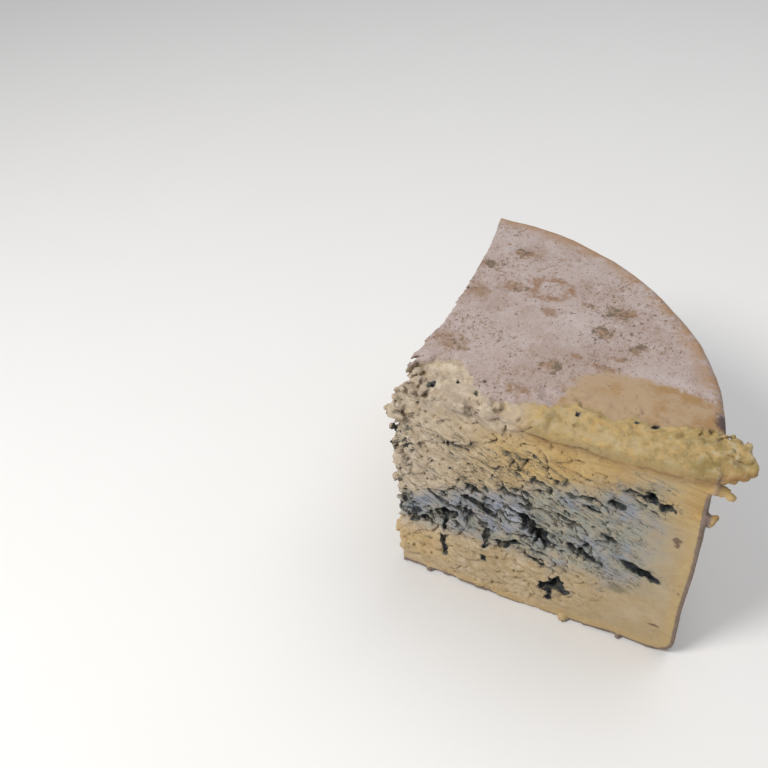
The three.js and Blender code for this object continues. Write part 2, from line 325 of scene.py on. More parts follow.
def grains(x, y, z):
    """Small round grains of curd, 0 between them and about 1 on top of each."""
    near, _, _, own = cells(x / 2.7, z / 2.3, y / 2.5, seed=9)
    return lerp(0.6, 1, own) * (1 - np.minimum(near / 0.75, 1) ** 2)


def cut_surface(face, along, z, depth, x, y):
    """How far a cut's surface stands out of its plane, and two shares: inside a crack, and near one."""
    seed = 11 if face == "front" else 23
    crumb = crumbling(along, z)
    stand, crack, beside = flakes(along, z, depth, seed)
    slow = 0.8 * noise(along / 38, z / 38, seed + 5)
    streaks = 0.25 * noise(along / 26, (z + 0.3 * along) / 2.6, seed, 3) * (1 - crumb)
    by_apex = 1 - smoothstep(3, 20, along + 5 * noise(along / 7, z / 7, seed + 7))
    curd = (grains(x, y, z) - 0.4) * lerp(0.25, 1.25, by_apex)
    gritty = crumb * smoothstep(-0.3, 0.4, noise(along / 11, z / 8, seed + 9) + 0.6 * by_apex)
    coarse = 0.24 * noise(x / 1.7, y / 1.7, z / 1.5, 2)
    grit = gritty * (coarse + 0.14 * noise(x / 0.95, y / 0.95, z / 0.9, 3))
    calmer = 1 - 0.35 * mouldy(along, z) * smoothstep(20, 60, along)
    relief = 1.6 * crumb * calmer * stand + slow + streaks + crumb * curd + grit
    relief = relief - 3.4 * crack * smoothstep(0.15, 0.6, crumb) * (1 - 0.4 * by_apex)
    if face == "front":
        relief = relief - crease(along, z)
    shown = smoothstep(0.1, 0.5, crumb)
    return relief, crack * shown, beside * shown


def crease(x, z):
    """Depth of the soft crease under the lip, and of two fainter streaks that carry on from it to the rim."""
    away = z - crease_height(x) + 0.9 * noise(x / 9, 2, 6)
    deep = 1.5 * np.exp(-(away / 1.3) ** 2) * smoothstep(40, 52, x) * smoothstep(112, 92, x)
    for offset, depth in ((-5.5, 0.5), (-9.5, 0.4)):
        streak = depth * np.exp(-((away - offset) / 1.6) ** 2)
        deep = deep + streak * smoothstep(62, 84, x) * smoothstep(132, 120, x)
    return deep


def crease_height(x):
    """The crease's height, just under the lip. Works for arrays and for a material's values."""
    return (x - 80.0) * (x - 80.0) * 0.0018 + 111.0


def cut_faces(x, y, z, front, side, along):
    """For both cuts: distance outside their broken surface, and the shares inside and near a crack."""
    outside = np.full(x.shape, -99, np.float32)
    inside_crack = np.zeros(x.shape, np.float32)
    near_crack = np.zeros(x.shape, np.float32)
    for face, run, plane in (("front", x, front), ("side", along, side)):
        near = plane > -DEEP
        if near.any():
            relief, crack, beside = cut_surface(face, run[near], z[near], -plane[near], x[near], y[near])
            outside[near] = np.maximum(outside[near], plane[near] - relief)
            inside_crack[near] = np.maximum(inside_crack[near], crack)
            near_crack[near] = np.maximum(near_crack[near], beside)
    return outside, inside_crack, near_crack


def openings(x, y, z):
    """Distance outside the nearest of the front cut's openings."""
    rough = 0.6 * noise(x / 3.1, y / 3.1, z / 2.8, 2) + 0.36 * noise(x / 1.3, y / 1.3, z / 1.2, 3)
    nearest = np.full(x.shape, 9, np.float32)
    for at, up, wide, high, deep, lean in OPENINGS:
        close = np.abs(x - at) < wide + high + 2
        if not close.any():
            continue
        cos, sin = math.cos(math.radians(lean)), math.sin(math.radians(lean))
        u = ((x - at) * cos - (z - up) * sin) / wide
        w = ((x - at) * sin + (z - up) * cos) / high
        away = (np.sqrt(u * u + w * w + (y / deep) ** 2) - 1 + rough) * min(wide, high)
        nearest = np.minimum(nearest, np.where(close, away, 9))
    return nearest


def pits(x, y, z):
    """Distance outside the nearest pit in the lip or the chipped top."""
    nearest = np.full(x.shape, 9, np.float32)
    ragged = 0.5 * noise(x / 1.5, y / 1.5, z / 2, 1) + 0.4 * noise(x / 0.8, y / 0.8, z / 1.2, 2)
    for at, back, radius in PITS:
        nearest = np.minimum(nearest, np.hypot(x - at, y - back) - radius + ragged)
    return np.where(z > 109, nearest, 9)


def channels(x, y, z, along, side):
    """Distance outside the nearest needle channel."""
    nearest = np.full(x.shape, 9, np.float32)
    bend = 0.9 * noise(z / 9, 1, 4) + 0.4 * noise(z / 3, 1, 9)
    rough = 0.5 * noise(x / 1.7, y / 1.7, z / 2.2, 1) + 0.25 * noise(z / 4, x / 9, 2)
    for face, at, low, high in CHANNELS:
        run, deep = (x, y) if face == "front" else (along, -side)
        past_end = z - np.clip(z, low, high)
        away = np.sqrt((run - at + bend) ** 2 + (deep - 0.4) ** 2 + past_end ** 2) - NEEDLE + rough
        nearest = np.minimum(nearest, away)
    return nearest


# ---- What the knife dragged out, and lumps of curd ----

def lip(x, y, z):
    """Distance outside the lip of soft paste along the top of the front cut."""
    share = np.clip((x - LIP["from"]) / (LIP["to"] - LIP["from"]), 0, 1)
    over = smoothstep(124, 137, x)
    taper = np.sqrt(np.clip(1 - np.clip((x - 124) / (LIP["to"] - 124), 0, 1) ** 2, 0.02, 1))
    full = lerp(0.45, 1, smoothstep(0, 0.3, share)) * taper
    wide = LIP["half_width"] * full * (1 + 0.22 * noise(x / 7, 5, 1))
    thick = LIP["half_thick"] * lerp(full, 1, 0.3) * (1 + 0.3 * noise(x / 9, 8, 2))
    dy = y - LIP["y"] - LIP_SWING * over + TIP_RETURN * smoothstep(138, LIP["to"], x)
    dz = z - LIP["z"] - LIP_RISE * smoothstep(95, 130, x)
    cos, sin = math.cos(LIP_TILT), math.sin(LIP_TILT)
    across, through = dy * cos + dz * sin, -dy * sin + dz * cos
    past_end = x - np.clip(x, LIP["from"], LIP["to"] - 2)
    streaks = 0.35 * noise(x / 19, (across + 0.12 * x) / 2.1, 7, 1) * smoothstep(4, -4, across)
    plain = (np.sqrt((across / wide) ** 2 + (through / thick) ** 2 + (past_end / 4) ** 2) - 1) * thick
    return np.where(x < LIP["to"], plain - streaks * full, plain + 2 * past_end)


def knobs(x, y, z):
    """How far torn paste stands out in knobs, about -0.6 to 1.4."""
    near, _, _, own = cells(x / 4.2, y / 3.6, z / 4.0, seed=5)
    round_ones = 1.7 * lerp(0.2, 1, own) * (1 - np.minimum(near / 0.8, 1) ** 2) - 0.6
    return round_ones + 0.4 * noise(x / 2.6, y / 2.4, z / 2.4, 2) + 0.28 * noise(x / 1.4, y / 1.3, z / 1.3, 3)


def lumps():
    """Lumps of curd, middle and radius: on the apex edge, the chipped top, the rind's edge and the tongue."""
    rng = np.random.default_rng(4)
    found = []
    for _ in range(84):
        radius = rng.choice([1.0, 1.4, 1.9, 2.7], p=[0.35, 0.33, 0.22, 0.10])
        where = (rng.uniform(-1.8, 1.6), rng.uniform(-0.8, 5), rng.uniform(6, 113))
        found.append((where, radius))
    for _ in range(56):
        x = rng.uniform(0, 44)
        radius = rng.choice([0.8, 1.1, 1.5, 2.0], p=[0.3, 0.3, 0.25, 0.15])
        y = rng.uniform(0, 1) ** 1.3 * np.interp(x, *zip(*RIND_EDGE))
        found.append(((x, y, 118 - 5 * math.exp(-math.hypot(x / 1.5, y) / 14)), radius))
    for _ in range(40):
        x = rng.uniform(44, 134)
        radius = rng.choice([0.7, 1.1, 1.5], p=[0.45, 0.35, 0.2])
        y = np.interp(x, *zip(*RIND_EDGE)) + rng.uniform(-2.5, 0.5)
        found.append(((x, y, 119.2 + rng.uniform(-0.6, 0.3)), radius))
    drip = [((133.2 + 1.25 * n, 1.8 - 0.1 * n, 110.2 - 0.45 * n), 2.5 - 0.24 * n) for n in range(6)]
    return found + APEX_LUMPS + TONGUE_LUMPS + drip + BARB_LUMPS + FOOT_LUMPS


LUMPS = lumps()


# ---- The whole wedge ----

def wedge(x, y, z):
    """Distance outside the cheese, mm."""
    front, side, along, wheel = faces(x, y, z)
    wheel = wheel - rind_relief(x, y, z)
    lower_top(wheel, x, y, z)
    shape = np.maximum(wheel, cut_faces(x, y, z, front, side, along)[0])
    add_lip(shape, x, y, z)
    add_lumps(shape, x, y, z)
    return np.maximum(cut(shape, holes(x, y, z, along, side), 0.7), -z)


def crumbs(x, y, z):
    """How far the bared top's crumbs stand out."""
    relief = 1.1 * (grains(x, y, z) - 0.5) + 0.8 * noise(x / 5.5, y / 5.5, z / 5.5, 3)
    relief = relief + 0.55 * noise(x / 2.4, y / 2.4, z / 2.4, 1)
    return relief + 0.35 * noise(x / 1.2, y / 1.2, z / 1.2, 2)


def lower_top(wheel, x, y, z):
    """Changes wheel where the rind is gone: the top falls where it is chipped, and steps down at its edge."""
    bare = smoothstep(-0.4, 0.5, bared(x, y)) * smoothstep(95, 112, z)
    near = bare > 0
    if near.any():
        px, py, pz = x[near], y[near], z[near]
        top = pz - HEIGHT + CHIPPED * chipping(px, py) + bare[near] * (1.0 - crumbs(px, py, pz))
        wheel[near] = np.maximum(wheel[near], top)


def add_lip(shape, x, y, z):
    """Changes shape near the lip, which is joined on, smeared round the front edge, and torn behind."""
    near = (x > LIP["from"] - 8) & (y < 28) & (z > 96)
    if near.any():
        px, py, pz = x[near], y[near], z[near]
        dragged = lip(px, py, pz)
        backward = smoothstep(-1, 8, py + 0.6 * (pz - LIP["z"]))
        torn = (1 - smoothstep(0.5, 3, dragged)) * lerp(0.3, 1, backward)
        smeared = smoothstep(42, 62, px) * smoothstep(134, 129, px)
        edge = rounded(-py - 1.0, pz - HEIGHT - 0.6, LIP_ROUNDING) - 9 * (1 - smeared)
        shape[near] = np.maximum(join(shape[near], dragged, 2.5), edge) - torn * knobs(px, py, pz)


def add_lumps(shape, x, y, z):
    """Changes shape near each lump of curd, which is joined on."""
    lowest_x, highest_x = x.min(), x.max()
    for (lx, ly, lz), radius in LUMPS:
        reach = 2.2 * radius
        if lx + reach < lowest_x or lx - reach > highest_x:
            continue
        away = np.sqrt((x - lx) ** 2 + (y - ly) ** 2 + ((z - lz) / 0.85) ** 2)
        close = away < reach
        if close.any():
            px, py, pz = x[close], y[close], z[close]
            bumps = 0.5 * radius * noise(0.9 * px / radius + lz, 0.9 * py / radius, 0.9 * pz / radius, 2)
            bumps = bumps + 0.25 * radius * noise(2.3 * px / radius, 2.3 * py / radius, 2.3 * pz / radius, 1)
            bumps = bumps + 0.15 * noise(px / 1.1, py / 1.1, pz / 1.1, 3)
            shape[close] = join(shape[close], away[close] - radius - bumps, 0.8)


def holes(x, y, z, along, side):
    """Distance outside the nearest opening, channel or pit."""
    nearest = np.minimum(openings(x, y, z), channels(x, y, z, along, side))
    return np.minimum(nearest, pits(x, y, z))


def sample():
    """The distance on a grid of cubes that covers the wedge: the grid's lowest corner and its values."""
    low = np.array([-12.0, -8.5, -3.0])
    high = np.array([150.5, 143.5, 126.0])
    axes = [np.arange(a, b, CUBE, dtype=np.float32) for a, b in zip(low, high)]
    y, z = np.meshgrid(axes[1], axes[2], indexing="ij")

    def layer(at):
        x = np.full(y.shape, at, np.float32)
        front, side, _, wheel = faces(x, y, z)
        cuts = np.maximum(front, side)
        plain = np.maximum(cuts, wheel)
        deep = np.zeros(y.shape, bool)
        for hole, up, wide, tall, _, _ in OPENINGS:
            if abs(at - hole) < wide + tall + 1:
                deep |= np.abs(z - up) < wide + tall + 1
        chipped = (at < 60) & (y < 34) & (z > 105)
        inner = (cuts > -CRACKED) | (wheel > -SHALLOW) | (deep & (y < DEEP)) | chipped
        tongue = (at > FRONT_CUT - 6) & (y < 24) & (z > 84)
        apex_edge = (at < 10) & (y < 14) & (cuts < 11)
        near = ((plain < OUTSIDE) & inner) | tongue | apex_edge
        values = np.clip(plain, -1, 1).astype(np.float32)
        if near.any():
            values[near] = np.clip(wedge(x[near], y[near], z[near]), -1, 1)
        return values

    with ThreadPoolExecutor(4) as pool:
        values = np.stack(list(pool.map(layer, axes[0])))
    return low, values


def skin():
    """Vertices, in mm from the apex's foot, and triangles drawn through the distance's zero."""
    low, values = sample()
    grid = openvdb.FloatGrid(1.0)
    grid.copyFromArray(values)
    points, quads = grid.convertToQuads(isovalue=0.0)
    return np.asarray(points) * CUBE + low, np.asarray(quads)


def largest_piece(count, quads):
    """Which vertices belong to the largest connected piece of the skin."""
    label = np.arange(count)
    ends = np.concatenate([quads[:, [a, b]] for a, b in ((0, 1), (1, 2), (2, 3))])
    while True:
        lowest = np.minimum(label[ends[:, 0]], label[ends[:, 1]])
        fresh = label.copy()
        np.minimum.at(fresh, ends[:, 0], lowest)
        np.minimum.at(fresh, ends[:, 1], lowest)
        fresh = fresh[fresh]
        if (fresh == label).all():
            break
        label = fresh
    return label == np.bincount(label).argmax()


def placed(name, data):
    """A new object in the scene."""
    made = bpy.data.objects.new(name, data)
    bpy.context.scene.collection.objects.link(made)
    return made


def cheese_mesh():
    """The wedge as one closed mesh in the frame's place, thinned to its limit of triangles."""
    points, quads = skin()
    kept = largest_piece(len(points), quads)
    renumbered = np.cumsum(kept) - 1
    quads = renumbered[quads[kept[quads[:, 0]]]]
    points = (points[kept] + APEX) * MM

    mesh = bpy.data.meshes.new("cheese")
    mesh.from_pydata(points.tolist(), [], quads.tolist())
    piece = placed("cheese", mesh)
    thin = piece.modifiers.new("thin", "DECIMATE")
    thin.ratio = min(1.0, MOST_TRIANGLES / (2 * len(quads)))
    bpy.context.view_layer.update()
    evaluated = piece.evaluated_get(bpy.context.evaluated_depsgraph_get())
    thinned = bpy.data.meshes.new_from_object(evaluated)
    piece.modifiers.clear()
    piece.data = thinned
    bpy.data.meshes.remove(mesh)
    thinned.shade_smooth()
    return piece


# ---- What the material needs to know at each vertex ----

def note(piece, name, values):
    """Keeps a number for each vertex."""
    attribute = piece.data.attributes.new(name, "FLOAT", "POINT")
    attribute.data.foreach_set("value", np.ascontiguousarray(values, np.float32))


def vectors(items, name):
    """A vector of each of a mesh's vertices or normals, as an array."""
    flat = np.empty(3 * len(items), np.float32)
    items.foreach_get(name, flat)
    return flat.reshape(-1, 3)


def note_places(piece):
    """Keeps for each vertex what the material can't work out, such as its depth under the rind."""
    point = (vectors(piece.data.vertices, "co") / MM - APEX).astype(np.float32)
    normal = vectors(piece.data.vertex_normals, "vector")
    x, y, z = point.T
    front, side, along, wheel = faces(x, y, z)
    _, crack, beside = cut_faces(x, y, z, front, side, along)
    opened = 1 - smoothstep(-0.2, 1.3, holes(x, y, z, along, side))
    around = wedge(*(point + HOLLOW_REACH * normal).astype(np.float32).T) / HOLLOW_REACH
    note(piece, "under_rind", rind_relief(x, y, z) - wheel)
    note(piece, "lip", 1 - smoothstep(0.4, 1.6, lip(x, y, z)))
    note(piece, "bared", bared(x, y))
    note(piece, "crack", crack)
    note(piece, "beside", beside)
    note(piece, "opened", opened)
    note(piece, "hollow", np.clip(1 - around, 0, 1))


# ---- Materials ----

def fill(node, values):
    """Sets a node's inputs, given by name or place."""
    for name, value in values.items():
        node.inputs[name].default_value = value


class Value:
    """A number in a material that varies over the surface. Arithmetic on it adds nodes."""

    def __init__(self, tree, socket):
        self.tree = tree
        self.socket = socket

    def math(self, operation, *others):
        node = self.tree.nodes.new("ShaderNodeMath")
        node.operation = operation
        for place, other in zip(node.inputs, (self, *others)):
            if isinstance(other, Value):
                self.tree.links.new(other.socket, place)
            else:
                place.default_value = other
        return Value(self.tree, node.outputs[0])

    def __add__(self, other):
        return self.math("ADD", other)

    def __sub__(self, other):
        return self.math("SUBTRACT", other)

    def __mul__(self, other):
        return self.math("MULTIPLY", other)

    def __truediv__(self, other):
        return self.math("DIVIDE", other)

    def __neg__(self):
        return self.math("MULTIPLY", -1.0)

    def __pow__(self, other):
        return self.math("POWER", other)

    def most(self, other):
        return self.math("MAXIMUM", other)

    def least(self, other):
        return self.math("MINIMUM", other)

    def size(self):
        return self.math("ABSOLUTE")

    def ramp(self, low, high, to_low=0.0, to_high=1.0):
        """Rises smoothly from to_low to to_high between low and high."""
        node = self.tree.nodes.new("ShaderNodeMapRange")
        node.interpolation_type = "SMOOTHSTEP"
        self.tree.links.new(self.socket, node.inputs["Value"])
        fill(node, {"From Min": low, "From Max": high, "To Min": to_low, "To Max": to_high})
        return Value(self.tree, node.outputs["Result"])


class Surface:
    """A material being written, with places in millimetres from the apex's foot."""

    def __init__(self, name):
        self.material = bpy.data.materials.new(name)
        self.material.use_nodes = True
        self.tree = self.material.node_tree
        self.shader = self.tree.nodes["Principled BSDF"]
        where = self.tree.nodes.new("ShaderNodeTexCoord")
        scaled = self.vector("SCALE", where.outputs["Object"], {"Scale": 1 / MM})
        self.place = self.vector("SUBTRACT", scaled, {1: tuple(APEX)})
        split = self.tree.nodes.new("ShaderNodeSeparateXYZ")
        self.tree.links.new(self.place, split.inputs[0])
        self.x, self.y, self.z = (Value(self.tree, socket) for socket in split.outputs)

    def vector(self, operation, a, others):
        node = self.tree.nodes.new("ShaderNodeVectorMath")
        node.operation = operation
        self.tree.links.new(a, node.inputs[0])
        fill(node, others)
        return node.outputs[0]

    def noted(self, name):
        node = self.tree.nodes.new("ShaderNodeAttribute")
        node.attribute_name = name
        return Value(self.tree, node.outputs["Fac"])

    def grain(self, size, detail=2.0, rough=0.5, offset=0.0, turn=0.0, warp=0.0):
        """Noise from 0 to 1, in lumps about size mm big, or (x, y, z) mm. turn tips it from x towards z."""
        mapping = self.tree.nodes.new("ShaderNodeMapping")
        mapping.vector_type = "TEXTURE"
        sizes = size if isinstance(size, tuple) else (size, size, size)
        fill(mapping, {"Scale": sizes, "Rotation": (0, turn, 0), "Location": (offset, offset, offset)})
        self.tree.links.new(self.place, mapping.inputs["Vector"])
        node = self.tree.nodes.new("ShaderNodeTexNoise")
        fill(node, {"Scale": 1.0, "Detail": detail, "Roughness": rough, "Distortion": warp})
        self.tree.links.new(mapping.outputs[0], node.inputs["Vector"])
        return Value(self.tree, node.outputs[0])

    def mix(self, a, b, share):
        """Colour a where share is 0 and colour b where it is 1."""
        node = self.tree.nodes.new("ShaderNodeMix")
        node.data_type = "RGBA"
        self.tree.links.new(share.socket, node.inputs[0])
        for colour, place in ((a, node.inputs[6]), (b, node.inputs[7])):
            if isinstance(colour, tuple):
                place.default_value = (*colour, 1.0)
            else:
                self.tree.links.new(colour, place)
        return node.outputs[2]

    def spot(self, x, y, across, along):
        """Distance on the top from a spot's middle, 1 at its edge."""
        dx, dy = (self.x - x) / across, (self.y - y) / along
        return (dx * dx + dy * dy) ** 0.5

    def spot_in_cut(self, x, z, across, up):
        """Distance in the front cut from a spot's middle, 1 at its edge."""
        dx, dz = (self.x - x) / across, (self.z - z) / up
        return (dx * dx + dz * dz) ** 0.5


# Colours, as red, green and blue: of the paste.
PASTE = (0.455, 0.335, 0.18)
PASTE_PALE = (0.51, 0.395, 0.245)
SHRED_PALE = (0.64, 0.53, 0.385)
SHRED_DARK = (0.335, 0.255, 0.155)
OCHRE = (0.61, 0.425, 0.17)
OCHRE_DARK = (0.52, 0.335, 0.115)
# Painted shade, brown: in the crease under the lip and under the tongue.
CREASE_SHADE_BROWN = (0.27, 0.145, 0.055)
STREAK_BROWN = (0.31, 0.185, 0.07)
MARK_BROWN = (0.16, 0.085, 0.045)
LIP_YELLOW = (0.41, 0.275, 0.10)
LIP_PALE = (0.43, 0.32, 0.155)
LIP_OLIVE = (0.32, 0.235, 0.085)
LIP_WHITE = (0.50, 0.415, 0.265)
LIP_BROWN = (0.27, 0.19, 0.08)
CURD_SHADED = (0.44, 0.35, 0.265)
CURD_WHITE = (0.60, 0.51, 0.40)
# Grey patches on the chipped top: partly its grey tint, partly painted shade.
CRUMB_GREY_SHADE = (0.33, 0.265, 0.21)

# Of the mould and the zone round it.
ZONE_GREENISH = (0.345, 0.345, 0.29)
ZONE_BLUE = (0.285, 0.315, 0.375)
ZONE_LIGHT = (0.43, 0.465, 0.53)
MOULD_GREEN = (0.125, 0.125, 0.075)
MOULD_SMUDGE = (0.17, 0.18, 0.18)
MOULD_HALO = (0.20, 0.195, 0.145)
MOULD_BLACK = (0.018, 0.021, 0.028)
MOULD_GREY = (0.075, 0.078, 0.062)
# Brown in hollows: painted shade, partly mould gathered there.
HOLLOW_SHADE_BROWN = (0.20, 0.135, 0.07)

# Of the rind.
BLOOM = (0.385, 0.295, 0.26)
BLOOM_LILAC = (0.47, 0.39, 0.37)
BLOOM_PALE = (0.53, 0.455, 0.445)
FRECKLE = (0.29, 0.195, 0.14)
DOT = (0.145, 0.088, 0.06)
BLOTCH = (0.285, 0.18, 0.11)
RING = (0.27, 0.155, 0.085)
DIRT_BROWN = (0.27, 0.165, 0.10)
DIRT_DARK = (0.155, 0.12, 0.085)
RIM_STAIN = (0.365, 0.215, 0.105)
BARE_TAN = (0.415, 0.295, 0.185)
BARE_BROWN = (0.35, 0.215, 0.10)
BARE_PIT = (0.20, 0.13, 0.075)
PURPLE = (0.075, 0.052, 0.062)
LEATHER = (0.20, 0.145, 0.11)
LEATHER_BLOOM = (0.37, 0.305, 0.285)
PIT_INSIDE = (0.05, 0.035, 0.025)
RIND_ROUGHNESS = 0.86

FLOOR_PALE = (0.87, 0.865, 0.855)
FLOOR_PALER = (0.89, 0.885, 0.88)


def paste_colour(s, fine, under, from_apex):
    """The cut paste: cream with paler and darker shreds, ochre, brown marks and painted shade in the crease,
    the lip and white curd.
    """
    cloud = s.grain(17, 3, 0.55, 3)
    streaked = s.grain((16, 6, 2.8), 3, 0.6, 21, FLAKE_SLOPE)
    shred = s.grain((6.5, 4, 2.4), 4, 0.66, 15, FLAKE_SLOPE, 0.6)
    broken = from_apex.ramp(118, 60)
    chipped = s.spot(0, 0, 62, 34).ramp(1.0, 0.8) * s.z.ramp(104, 112)
    colour = s.mix(PASTE, PASTE_PALE, (cloud * 0.6 + fine * 0.4).ramp(0.38, 0.62))
    colour = s.mix(colour, SHRED_PALE, shred.ramp(0.50, 0.65) * broken * 0.65)
    colour = s.mix(colour, SHRED_DARK, shred.ramp(0.47, 0.35) * broken * 0.5)
    colour = with_ochre(s, colour, cloud, streaked, under, chipped)
    colour = with_brown_marks_and_shade(s, colour, (fine * 0.5 + streaked * 0.5).ramp(0.28, 0.56))
    colour = with_lip(s, colour, cloud, fine)
    return with_curd(s, colour, shred, from_apex, chipped)


def with_ochre(s, colour, cloud, streaked, under, chipped):
    """Ochre below the lip, just under the rind, and low down by the apex."""
    below_lip = s.z.ramp(76, 94) * s.x.ramp(30, 62) * s.y.ramp(26, 16)
    ochre = (below_lip * 0.9).most(under.ramp(9, 2.5) * (-chipped + 1.0) * 0.5)
    ochre = ochre.most(s.x.ramp(34, 10) * s.z.ramp(37, 26) * s.z.ramp(4, 14) * 0.85)
    ochre = ochre * (cloud * 0.4 + streaked * 0.6).ramp(0.3, 0.6, 0.45, 1.0)
    return s.mix(colour, s.mix(OCHRE, OCHRE_DARK, cloud.ramp(0.4, 0.6)), ochre)


def with_brown_marks_and_shade(s, colour, patchy):
    """Brown painted shade in the crease and under the tongue, and brown in the streaks drawn below the lip
    and in marks by the rim.
    """
    on_front = s.y.ramp(10, 5)
    crossing = (s.z - crease_height(s.x) + (s.grain(8, 2, 0.5, 25) - 0.5) * 5).size()
    creased = (crossing.ramp(5.5, 0.5) * 0.65).most(crossing.ramp(1.9, 0.4)) * s.x.ramp(42, 58) * on_front
    creased = creased.most(s.spot_in_cut(127, 114, 17, 5).ramp(1.1, 0.2) * s.y.ramp(9, 3) * 0.8)
    # The brown in the crease and under the tongue is painted shade.
    colour = s.mix(colour, CREASE_SHADE_BROWN, creased * patchy * 0.88)

    drawn = s.grain((34, 8, 1.7), 3, 0.6, 35, math.radians(9)).ramp(0.5, 0.64)
    drawn = drawn * s.z.ramp(84, 94) * s.x.ramp(62, 84) * s.z.ramp(112, 106)
    colour = s.mix(colour, STREAK_BROWN, drawn * on_front * 0.55)

    mark = s.spot_in_cut(123.8, 75.2, 2.0, 3.4).least(s.spot_in_cut(122, 18.5, 4.5, 0.9) + 0.25)
    mark = (mark + (s.grain(2.4, 3, 0.6, 121) - 0.5) * 2.4).ramp(1.1, 0.5) * s.y.ramp(6, 3)
    return s.mix(colour, MARK_BROWN, mark * 0.95)


def with_lip(s, colour, cloud, fine):
    """The lip: yellow, more olive towards the rim, with whiter and browner torn patches; the whiter ones,
    more on the top edge and the tongue, are partly pale curd and partly painted highlight.
    """
    on_lip = (s.z - crease_height(s.x)).ramp(-1.0, 2.5) * s.x.ramp(44, 60) * s.y.ramp(28, 20)
    colour = s.mix(colour, LIP_YELLOW, on_lip * 0.5)
    pale = s.mix(LIP_PALE, LIP_OLIVE, (s.x.ramp(60, 135) * 0.4 + cloud * 0.8).ramp(0.45, 0.85))
    colour = s.mix(colour, pale, on_lip * (fine * 0.6 + s.grain(7, 3, 0.6, 27) * 0.6).ramp(0.48, 0.68))
    torn = s.grain(3.6, 3, 0.55, 39)
    # More white on the lip's top edge and on the tongue: partly pale curd, partly painted highlight.
    whiter = s.z.ramp(114, 119) * 0.6 + s.x.ramp(122, 136)
    colour = s.mix(colour, LIP_WHITE, on_lip * torn.ramp(0.46, 0.66) * whiter.least(1.0) * 0.68)
    return s.mix(colour, LIP_BROWN, on_lip * torn.ramp(0.46, 0.34) * 0.5)


def with_curd(s, colour, shred, from_apex, chipped):
    """White curd by the apex and on the chipped top, which has grey patches: partly its grey tint, partly
    painted shade.
    """
    curd = from_apex.ramp(46, 6).most(chipped) * s.grain(5, 3, 0.6, 31).ramp(0.3, 0.6, 0.6, 1.0)
    white = s.mix(CURD_SHADED, CURD_WHITE, shred.ramp(0.38, 0.56))
    colour = s.mix(colour, white, curd * s.z.ramp(24, 38, 0.3, 1.0) * 0.85)
    # Grey patches on the chipped top: partly its grey tint, partly painted shade.
    grey_and_shade_patches = s.grain(6, 3, 0.6, 129).ramp(0.38, 0.62) * chipped
    return s.mix(colour, CRUMB_GREY_SHADE, grey_and_shade_patches * 0.6)


def with_mould(s, colour, fine, under, from_apex):
    """The paste with its mould: a pale blue zone, darkness in cracks, openings and flecks, and brown in
    hollows that is painted shade, partly mould.
    """
    ragged = s.grain(13, 4, 0.6, 41)
    middle, half = mould_band(from_apex)
    zone = (((s.z - middle) / half).size() + ragged * 0.9).ramp(1.65, 1.0) * from_apex.ramp(130, 104)
    zone = zone * under.ramp(3, 9)
    colour = with_blue(s, colour, zone, ragged, fine, from_apex)
    dark, halo = mould_darkness(s, zone, fine, under, from_apex)
    colour = s.mix(colour, MOULD_HALO, halo)
    # Brown in hollows: painted shade, partly mould gathered there.
    colour = s.mix(colour, HOLLOW_SHADE_BROWN, s.noted("hollow").ramp(0.2, 0.9) * 0.5)
    mould = s.mix(MOULD_BLACK, MOULD_GREY, s.grain((3.4, 2.6, 2.2), 3, 0.6, 71).ramp(0.44, 0.62))
    return s.mix(colour, mould, dark), dark


def with_blue(s, colour, zone, ragged, fine, from_apex):
    """The blue zone's tints: blue or greenish, with a light spot, a green one and dark smudges."""
    cast = s.spot_in_cut(42, 60, 34, 15).ramp(1.2, 0.3) * 0.25
    tint = s.mix(ZONE_GREENISH, ZONE_BLUE, (s.grain(15, 3, 0.5, 47) + cast).ramp(0.42, 0.66))
    colour = s.mix(colour, tint, zone * s.grain(6, 4, 0.65, 53).ramp(0.30, 0.62, 0.45, 1.0))
    light = (s.spot_in_cut(56, 61, 8, 5.5) + ragged * 0.8).ramp(1.5, 0.9) * zone
    colour = s.mix(colour, ZONE_LIGHT, light * 0.8)
    green = s.spot_in_cut(105, 35, 6, 3.5) + (ragged - 0.5) * 1.6 + (fine - 0.5)
    colour = s.mix(colour, MOULD_GREEN, green.ramp(1.2, 0.4) * s.y.ramp(8, 3) * 0.6)
    smudge = s.grain((11, 6, 4), 5, 0.65, 57, FLAKE_SLOPE, 0.5).ramp(0.52, 0.74)
    return s.mix(colour, MOULD_SMUDGE, zone * smudge * from_apex.ramp(100, 70, 0.3, 0.65))


